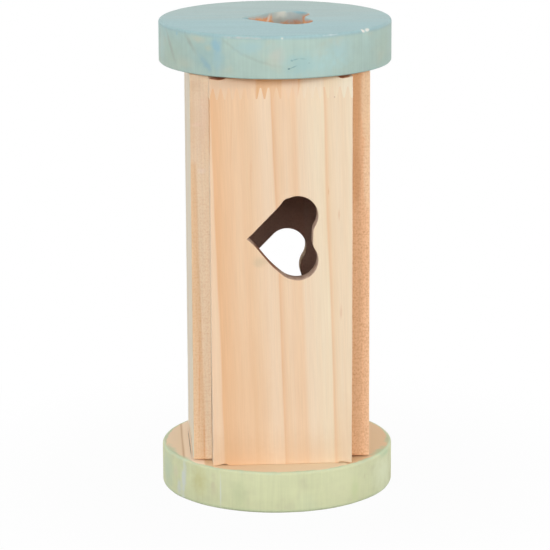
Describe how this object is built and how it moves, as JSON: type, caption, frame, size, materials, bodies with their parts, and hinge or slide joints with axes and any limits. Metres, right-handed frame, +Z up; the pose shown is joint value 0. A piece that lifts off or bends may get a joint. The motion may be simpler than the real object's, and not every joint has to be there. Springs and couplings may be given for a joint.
{
  "type": "wooden treat roller",
  "caption": "Upright wooden treat roller for small pets: flat pine panels between two pastel round discs, with heart cut-outs that let treats in and out.",
  "frame": {"origin": "centre of the base disc's underside, on the roller's axis", "axes": "+Z up along the roller's axis, the front panel with the higher heart faces -Y, and the hearts point to -X"},
  "size_m": [0.081, 0.081, 0.1653],
  "materials": {
    "pine": "bare sawn pine, lightly sanded",
    "end_block_pine": "bare sawn pine from another stick",
    "sky_paint": "thin matte pastel blue stain on the outer face and rim, bare inner face",
    "mint_paint": "thin matte pastel green stain on the outer face and rim, bare inner face",
    "beech": "plain beech dowel rod"
  },
  "bodies": {
    "root": {"top_disc": "sky_paint", "base_disc": "mint_paint", "front_panel": "pine", "front_panel_end_block": "end_block_pine", "back_panel": "pine", "left_panel": "pine", "right_panel": "pine", "front_top_dowels": "beech", "back_top_dowels": "beech", "left_top_dowels": "beech", "right_top_dowels": "beech", "front_base_dowels": "beech", "back_base_dowels": "beech", "left_base_dowels": "beech", "right_base_dowels": "beech"}
  },
  "joints": []
}
